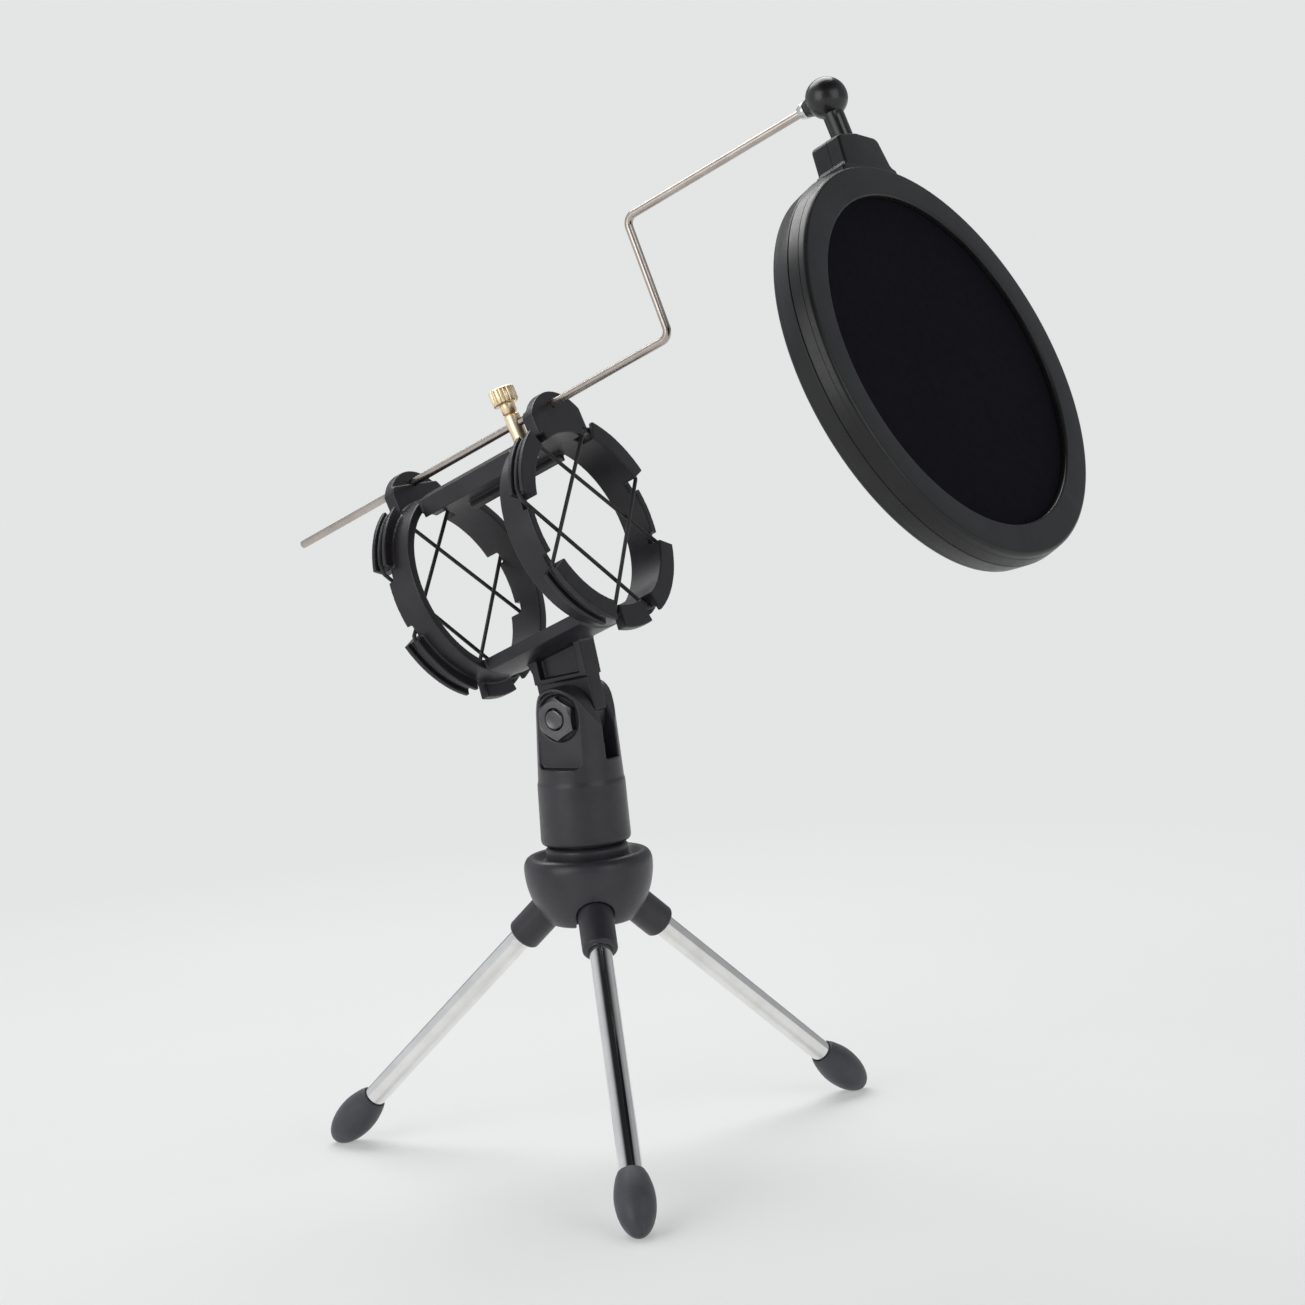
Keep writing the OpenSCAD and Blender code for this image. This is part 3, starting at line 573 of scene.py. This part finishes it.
# ---------- tripod ----------
def foot_profile():
    """Bore floor, bore, rolled rim, swelling side and round nose."""
    bore = TUBE_R + 0.02
    inside = [(0, FOOT_GRIP), (bore - 0.07, FOOT_GRIP), (bore, FOOT_GRIP - 0.4), (bore, 0.5),
              (bore + 0.13, 0.12)]
    rim = [(FOOT_RIM_R + dr, z) for dr, z in ((-0.4, 0.0), (-0.18, 0.10), (-0.04, 0.35), (0.02, 0.7))]
    side = [(FOOT_RIM_R + (FOOT_R - FOOT_RIM_R) * math.sin(math.pi / 2 * t), FOOT_SWELL * t)
            for t in lerp_range(0, 1, 12, 2)]
    nose = [(FOOT_R * math.cos(a), FOOT_SWELL + FOOT_NOSE * math.sin(a))
            for a in lerp_range(0, math.pi / 2, 20, 1)[:-1]]
    return inside + rim + side + nose + [(0, FOOT_SWELL + FOOT_NOSE)]


def leg(n):
    place, body = leg_place(n - 1), f"leg_{n}"
    moulded(f"leg_barrel_{n}", [f"leg_socket_{n}"], place, 0.24, "black_plastic", body)
    tube_end = LEG_LEN + FOOT_GRIP
    wall = [(TUBE_BORE_R, TUBE_START), (TUBE_R, TUBE_START), (TUBE_R, tube_end), (TUBE_BORE_R, tube_end)]
    piece(f"chrome_leg_{n}", spin(fillet(wall, 0.15), 72, True), place, "leg_chrome", body, f"leg_tube_{n}")
    foot = mesh_object(f"rubber_foot_{n}", [spin(foot_profile(), 72)], place @ shift(0, 0, LEG_LEN))
    for v in foot.data.vertices:
        v.co.z = max(v.co.z, 0.0)           # the flat worn on the desk
    finish_piece(foot, "foot_rubber", body, [f"foot_{n}"], 50)


moulded("tripod_hub", ["hub"], MM, 0.30, "black_plastic", "stand", 7)
for leg_number in (1, 2, 3):
    leg(leg_number)


# ---------- fork clip ----------
def hexagon(name, thick, faces, place):
    """A hexagon across NUT_AF, with its corners turned off at the faces named by z."""
    flat = NUT_AF / 2
    corner = flat / math.cos(math.pi / 6)
    ends = [(corner * math.sin(math.pi / 3 * i), corner * math.cos(math.pi / 3 * i)) for i in range(6)]
    o = mesh_object(name, [plate(fillet(ends, 0.25, True, 6), [(0, 0), (thick, 0)])], place)
    face_r, slope = flat * 0.94, 1.7        # the turned cone starts on the face and falls 1 in 1.7
    drop = (corner - face_r + 1) / slope
    disc = [(0, -1), (corner + 1, -1), (corner + 1, thick + 1), (0, thick + 1)]
    if 0 in faces:
        disc[:2] = [(0, 0), (face_r, 0), (corner + 1, drop)]
    if thick in faces:
        disc[-2:] = [(corner + 1, thick - drop), (face_r, thick), (0, thick)]
    return cut(o, spin(disc, 144), place, "INTERSECT")


def pivot_nut():
    place = PIVOT @ shift(0, 0, SEAT)
    nut = hexagon("hex_nut", NUT_T, (NUT_T,), place)
    bore_r, mouth_r = BOLT_R + 0.05, BOLT_R + 0.6
    bore = [(0, -1), (bore_r, -1), (bore_r, NUT_T - 0.4), (mouth_r, NUT_T + 0.15), (mouth_r, NUT_T + 1),
            (0, NUT_T + 1)]
    cut(nut, spin(bore), place)
    finish_piece(nut, "fastener_steel", "clip", ["pivot_nut"], 24)


def pivot_bolt():
    bolt = hexagon("pivot_bolt_turned", HEAD_T, (0,), PIVOT @ shift(0, 0, -SEAT - HEAD_T))
    shank = [(0, -0.5), (BOLT_R, -0.5)]
    for z in (BOLT_LEN - 3.15, BOLT_LEN - 2.3, BOLT_LEN - 1.45):
        shank += [(BOLT_R, z), (BOLT_R - 0.01, z + 0.2), (BOLT_R - 0.22, z + 0.42), (BOLT_R - 0.01, z + 0.62)]
    shank += [(BOLT_R, BOLT_LEN - 0.45), (BOLT_R - 0.3, BOLT_LEN - 0.1), (BOLT_R - 0.55, BOLT_LEN),
              (BOLT_R - 1.1, BOLT_LEN - 0.15), (0, BOLT_LEN - 0.2)]
    cut(bolt, spin(shank), PIVOT @ shift(0, 0, -SEAT), "UNION")
    finish_piece(bolt, "fastener_steel", "clip", ["pivot_bolt"], 24)


moulded("fork_clip", ["clip_body"], MM, 0.28, "black_plastic", "clip")
pivot_nut()
pivot_bolt()


# ---------- shock mount ----------
def groove_beds():
    """The floor of each band groove, which stands a little proud of the ring wall."""
    arcs = [(side * a0, side * a1) for side in (1, -1) for a0, a1 in GROOVES]
    return [(arc_block(a0, a1, RING_R - 0.6, RING_R + 1.4, 0.1 - LIP_T, -LIP_T - GROOVE_W - 0.3), spot)
            for spot in (FRONT, REAR) for a0, a1 in arcs]


def band_path(notches, z):
    """A band's line: through a groove on one side, across the ring, through one opposite, and back."""
    ease = (0, 5.5, 13, 23, 34, 50, 66, 77, 87, 94.5, 100)
    angles = NOTCHES + tuple(360 - a for a in NOTCHES[::-1])
    last = len(ease) - 1
    pts, radii = [], []
    for first, second in (notches[:2], notches[2:]):
        a0, a1 = angles[first], angles[second]
        for t, share in enumerate(ease):
            a = math.radians(a0 + (a1 - a0) * share / 100)
            r = BAND_R + 1.3 * min(1, t / 2, (last - t) / 2)
            pts.append((r * math.cos(a), r * math.sin(a), z))
            radii.append(0.9 if t in (0, last) else 0.0)
    return divided(fillet(pts, radii, True, 6), 2.5, True)


def elastic_bands():
    outer = -LIP_T - 0.1 - BAND_D / 2
    inner = outer - BAND_D - 0.02
    for name, node, place, notches, z in (
        ("elastic_band_1", "front_band_1", FRONT, (2, 3, 6, 7), outer),
        ("elastic_band_2", "front_band_2", FRONT, (0, 1, 4, 5), inner),
        ("elastic_band_3", "rear_band_1", REAR, (0, 1, 4, 5), outer),
        ("elastic_band_4", "rear_band_2", REAR, (2, 3, 6, 7), inner),
    ):
        piece(name, sweep(band_path(notches, z), BAND_D / 2, 16, True), place, "elastic", "cradle", node)


moulded("shock_mount", ["cradle_arm", "lower_bar", "upper_bar", "front_ring", "rear_ring", "front_boss",
                        "rear_boss"], CRADLE, 0.22, "mount_plastic", "cradle", 10, 195000, groove_beds())
elastic_bands()


# ---------- wire clamp ----------
def clamp_post():
    top = WIRE_UP + 3.2
    stud = [(0, POST_END), (POST_STUD_R - 0.4, POST_END), (POST_STUD_R, POST_END + 0.4),
            (POST_STUD_R, BAR_TOP)]
    wall = [(POST_R - 0.2, BAR_TOP), (POST_R, BAR_TOP + 0.2), (POST_R, top - 0.35), (POST_R - 0.3, top)]
    bore = [(1.35, top), (1.1, top - 0.3), (1.1, WIRE_UP + 1), (0, WIRE_UP + 1)]
    post = mesh_object("clamp_pillar", [spin(stud + wall + bore, 64)], POST)
    hole = [(0, -6), (WIRE_R + 0.07, -6), (WIRE_R + 0.07, 6), (0, 6)]
    cut(post, spin(hole, 48), POST @ shift(0, 0, WIRE_UP) @ turn("Y", 90))
    finish_piece(post, "brass", "cradle", ["clamp_post"], 30)


def knurl(a, r, z):
    """V-grooves down the rim of the thumb screw's head."""
    if r < KNOB_R - 0.7:
        return r, z
    across = (a * KNURLS / (2 * math.pi)) % 1.0
    dip = max(0.0, 1 - abs(across - 0.5) / 0.22)
    return r - KNURL_DEPTH * math.sin(math.pi / 2 * dip) ** 2, z


def thumb_screw():
    z, head, r = WIRE_UP, WIRE_UP + 6.6, KNOB_R
    tip = [(0, z + 1.3), (0.75, z + 1.3), (1.0, z + 1.6), (1.0, z + 3.5)]
    neck = [(2.05, z + 3.5), (2.3, z + 3.75), (2.3, head)]
    rim = [(r - 0.45, head), (r - 0.1, head + 0.35), (r, head + 0.5), (r, head + 4.5),
           (r - 0.12, head + 4.75), (r - 0.45, head + 5)]
    dish = [(2.75, head + 5), (2.6, head + 4.85), (2.5, head + 4.35), (2.2, head + 4.3), (0, head + 4.3)]
    piece("thumb_screw_knurled", spin(tip + neck + rim + dish, 216, False, knurl), POST, "brass",
          "thumb_screw", "clamp_screw", 48)


clamp_post()
thumb_screw()


# ---------- wire arm ----------
def wire_arm():
    rise_x = WIRE_FRONT + WIRE_RISE * math.tan(math.radians(RISE_LEAN))
    corners = [(-WIRE_BACK, 0, 0), (WIRE_FRONT, 0, 0), (rise_x, 0, WIRE_RISE),
               (BALL_AHEAD - CRIMP_AHEAD + 4, 0, WIRE_RISE)]
    path = divided(fillet(corners, [0, BEND_R, BEND_R, 0], False, 14), 6)
    piece("wire_arm_bent", sweep(path, WIRE_R, 32, False, 0.35), WIRE, "wire_nickel", "wire", "wire_arm")


def crimp_ferrule():
    bore, back, front = WIRE_R + 0.02, -CRIMP_AHEAD, CRIMP_LEN - CRIMP_AHEAD
    wall = [(bore, back), (1.75, back), (CRIMP_R, front - 0.8), (CRIMP_R, front), (bore, front)]
    piece("crimp_ferrule", spin(fillet(wall, [0.1, 0.12, 0.2, 0.2, 0.1]), 64, True), BALL @ turn("Y", 90),
          "bright_steel", "wire", "wire_ferrule", 40)


wire_arm()
crimp_ferrule()


# ---------- swivel ----------
def flutes(a, r, z):
    """Four shallow grooves down the stem, which fade out at both ends."""
    if not 2.5 < r < 3.2 or z < -18:
        return r, z
    off = abs(a % (math.pi / 2) - math.pi / 4)
    fade = min(1.0, max(0.0, (-5.0 - z) / 1.5)) * min(1.0, max(0.0, z + 18.2))
    return r - 0.6 * fade * max(0.0, 1 - (off / 0.24) ** 2), z


def ball_and_stem():
    angles = lerp_range(0, math.pi, 48, 1)[:-1]
    globe = [(0, -BALL_R)] + [(BALL_R * math.sin(t), -BALL_R * math.cos(t)) for t in angles] + [(0, BALL_R)]
    low = STEM_END - FILTER_DROP
    stem = [(0, low), (STEM_FOOT_R - 0.3, low), (STEM_FOOT_R, low + 0.3), (STEM_FOOT_R, low + 1.3),
            (STEM_FOOT_R - 0.3, low + 1.6), (STEM_R, low + 1.65)]
    stem += [(STEM_R, z) for z in lerp_range(-18.6, -4.2, 30)] + [(STEM_R + 0.05, -3.9), (0, -3.5)]
    end = CRIMP_LEN - CRIMP_AHEAD + 0.12    # just past the ferrule
    bore = WIRE_R + 0.08
    cone = [(0, -5.6), (bore, -5.6), (bore, end + 0.18), (1.5, end), (2.25, end), (2.45, end + 0.23),
            (2.75, -5.6), (3.2, -4.2), (3.4, -3.2), (0, -2.4)]
    body = mesh_object("ball_body", [spin(globe, 144), spin(stem, 96, False, flutes)], SWING)
    collar = mesh_object("ball_cone", [spin(cone, 64)], BALL @ turn("Y", 90))
    finish_piece(join("ball_and_stem", body, collar), "gloss_ball", "swivel", ["swivel_ball"], 40)


ball_and_stem()


# ---------- pop filter ----------
def half_section(depth, taper):
    """Outer wall widest at the parting line, a fine ledge near the face, and a soft edge."""
    edge, parting = FILTER_R - taper, 0.02
    pts = [(OPEN_R, SEAT_Z), (SEAT_R, SEAT_Z), (SEAT_R, parting), (FILTER_R, parting),
           (edge + 0.05, depth - 2.35), (edge - 0.06, depth - 2.25), (edge - 0.35, depth), (OPEN_R, depth)]
    return fillet(pts, [0.15, 0.1, 0.1, 0.35, 0.12, 0.1, 1.7, 0.8], True, 9)


def neck_outline():
    """The neck's shoulders, cheeks and slightly peaked top. X runs up the neck."""
    root, top = FILTER_R - 5.5, NECK_TOP
    side = [(root, 13.6), (FILTER_R - 0.4, 13.2), (FILTER_R + 0.2, 11.3), (top - 1.0, 9.7), (top, 0.0)]
    half = fillet(side + [(top - 1.0, -9.7)], [0, 1.2, 1.6, 2.2, 8.0, 0], False, 8)
    half = [p for p in half if p[1] > 1e-3]
    inner = [(root, -6.0), (root + 1.1, -3.0), (root + 1.4, 0), (root + 1.1, 3.0), (root, 6.0)]
    return half + [(top, 0.0)] + [(x, -y) for x, y in half[::-1]] + inner


def frame_shell(name, depth, taper, neck, place, node):
    shell = mesh_object(name, [plate(neck_outline(), rounded_levels(0.02, neck, 0.1, 0.9))], place)
    stem_hole = [(0, 55), (STEM_R + 0.25, 55), (STEM_R + 0.25, 90), (0, 90)]
    cut(shell, spin(stem_hole, 48), place @ turn("Y", 90))
    ring = mesh_object("ring", [spin(half_section(depth, taper), 256, True)], place)
    finish_piece(join(name, shell, ring), "filter_plastic", "filter", [node], 34)


def fabric_disc(z, rings=26, segs=128):
    """A taut round of fabric with its own UV in millimetres, and slight waves that end at the hoop."""
    verts, faces = [], []
    for layer_z in (z, z + FABRIC_T):
        base = len(verts)
        verts.append((0, 0, layer_z))
        for i in range(1, rings + 1):
            r, share = FABRIC_R * i / rings, i / rings
            for s in range(segs):
                a = 2 * math.pi * s / segs
                lift = 0.05 * math.sin(a * 9 + 0.7) * share ** 4 + 0.04 * math.sin(a * 3) * share ** 2
                verts.append((r * math.cos(a), r * math.sin(a), layer_z + (lift if i <= rings - 3 else 0)))
        faces += [(base, base + 1 + s, base + 1 + (s + 1) % segs) for s in range(segs)]
        for i in range(1, rings):
            here, beyond = base + 1 + (i - 1) * segs, base + 1 + i * segs
            faces += [(here + s, here + (s + 1) % segs, beyond + (s + 1) % segs, beyond + s)
                      for s in range(segs)]
    rim = 1 + (rings - 1) * segs
    other = 1 + rings * segs + rim
    faces += [(rim + s, rim + (s + 1) % segs, other + (s + 1) % segs, other + s) for s in range(segs)]
    return verts, faces, [[verts[v][:2] for v in f] for f in faces]


frame_shell("frame_shell_front", FRONT_T, 0.55, 4.5, FILTER, "frame_front")
frame_shell("frame_shell_back", BACK_T, 0.8, 5.6, FILTER @ FLIP, "frame_back")

for name, node, z in (("fabric_front", "mesh_front", 3.02), ("fabric_back", "mesh_back", -3.02 - FABRIC_T)):
    cloth = piece(name, fabric_disc(z), FILTER, "mesh_fabric", "filter", node, 60)

# ---------- CAD nodes that stay ----------
for names, look in ((("hub_stud", "hub_screw", "hinge_pins", "clamp_nut", "swivel_clip"), "bright_steel"),
                    (("thread_insert",), "brass"), (("mesh_hoop",), "filter_plastic")):
    for name in names:
        NODES[name].material_slots[0].material = LOOKS[look]

# ---------- stage, light, camera ----------
YAW, PITCH, ROLL = 2.15352, -0.105815, -0.0827241       # the fitted camera, in radians
EYE = Vector((0.557889, -0.802333, 0.253863))
FOCAL_PX, PHOTO_PX, SENSOR = 3311.11, 1305, 36.0
BACKDROP = (0.775, 0.786, 0.783)
AHEAD, RIGHT = Vector((-0.571, 0.821, 0)), Vector((0.821, 0.571, 0))


def studio_floor():
    """Pale paper that fades into the backdrop's colour with distance."""
    o = mesh_object("floor", [spin([(0, 0), (0.3, 0), (0.6, 0), (1.2, 0), (9, 0)], 64)])
    k = Look("floor_paper", Roughness=0.75, Specular_IOR_Level=0.25)
    col = k.ramp(k.noise(7, 4), (0.3, (0.84, 0.84, 0.835)), (0.7, (0.87, 0.87, 0.865)))
    k.out(Base_Color=col, Normal=k.bump(k.noise(900, 3), 0.08, 0.0002))
    p = k.add("ShaderNodeSeparateXYZ", Vector=k.co)
    squares = [k.math("POWER", p.outputs[axis], 2) for axis in (0, 1)]
    away = k.math("SQRT", k.math("ADD", *squares))
    glow = k.add("ShaderNodeEmission", Color=(*BACKDROP, 1), Strength=1.0)
    m = k.add("ShaderNodeMixShader", Fac=k.span(away, 0.20, 0.62, 0.4, 1))
    k.t.links.new(k.b.outputs[0], m.inputs[1])
    k.t.links.new(glow.outputs[0], m.inputs[2])
    k.t.links.new(m.outputs[0], k.t.nodes["Material Output"].inputs["Surface"])
    o.data.materials.append(k.m)


def studio_world():
    """The plain backdrop as the camera sees it, and a room with a pale wall on each side as light."""
    world = bpy.data.worlds.new("studio")
    bpy.context.scene.world = world
    world.use_nodes = True
    nodes, link = world.node_tree.nodes, world.node_tree.links.new
    nodes.clear()

    def mapped(value, numbers, kind="LINEAR"):
        n = nodes.new("ShaderNodeMapRange")
        n.interpolation_type = kind
        for i, v in enumerate(numbers):
            n.inputs[i + 1].default_value = v
        link(value, n.inputs[0])
        return n.outputs[0]

    way = nodes.new("ShaderNodeTexCoord").outputs["Generated"]
    split = nodes.new("ShaderNodeSeparateXYZ")
    link(way, split.inputs[0])
    glow = mapped(split.outputs["Z"], (0.45, 0.85, 0.26, 0.02))
    for side, strength in ((-1, 0.45), (1, 0.15)):
        dot = nodes.new("ShaderNodeVectorMath")
        dot.operation = "DOT_PRODUCT"
        dot.inputs[1].default_value = RIGHT * side
        link(way, dot.inputs[0])
        total = nodes.new("ShaderNodeMath")
        link(glow, total.inputs[0])
        link(mapped(dot.outputs["Value"], (0.35, 0.75, 0.0, strength), "SMOOTHSTEP"), total.inputs[1])
        glow = total.outputs[0]
    fill = nodes.new("ShaderNodeBackground")
    fill.inputs[0].default_value = (0.93, 0.96, 1.0, 1)
    link(glow, fill.inputs[1])
    seen = nodes.new("ShaderNodeBackground")
    seen.inputs[0].default_value = (*BACKDROP, 1)
    mixed = nodes.new("ShaderNodeMixShader")
    link(nodes.new("ShaderNodeLightPath").outputs["Is Camera Ray"], mixed.inputs[0])
    link(fill.outputs[0], mixed.inputs[1])
    link(seen.outputs[0], mixed.inputs[2])
    link(mixed.outputs[0], nodes.new("ShaderNodeOutputWorld").inputs[0])


def softbox(name, right, ahead, up, width, height, power):
    """A soft light placed from the object as the camera sees it, in metres, and aimed at its middle."""
    data = bpy.data.lights.new(name, "AREA")
    data.shape, data.size, data.size_y, data.energy = "RECTANGLE", width, height, power
    o = linked(name, data)
    o.location = RIGHT * right + AHEAD * ahead + Vector((0, 0, up))
    o.rotation_euler = (Vector((0.02, 0, 0.16)) - o.location).to_track_quat("-Z", "Y").to_euler()
    o.visible_camera = False


def photo_camera():
    """The photograph's point of view, with its slight roll."""
    forward = Vector((math.cos(PITCH) * math.cos(YAW), math.cos(PITCH) * math.sin(YAW), math.sin(PITCH)))
    level = forward.cross(Vector((0, 0, 1))).normalized()
    above = level.cross(forward)
    right = math.cos(ROLL) * level + math.sin(ROLL) * above
    up = math.cos(ROLL) * above - math.sin(ROLL) * level
    data = bpy.data.cameras.new("camera")
    data.sensor_width, data.lens = SENSOR, FOCAL_PX / PHOTO_PX * SENSOR
    data.clip_start, data.clip_end = 0.01, 60
    camera = linked("camera", data)
    camera.matrix_world = Matrix.Translation(EYE) @ Matrix((right, up, -forward)).transposed().to_4x4()
    bpy.context.scene.camera = camera


studio_floor()
studio_world()
softbox("key", -0.80, -0.78, 0.58, 0.8, 0.9, 4.3)
softbox("side", 0.76, -0.82, 0.60, 0.8, 0.8, 2.7)
softbox("back", -0.15, 0.70, 1.25, 1.3, 0.9, 17.0)
photo_camera()
bpy.context.scene.view_settings.view_transform = "Standard"
bpy.context.scene.view_settings.look = "None"
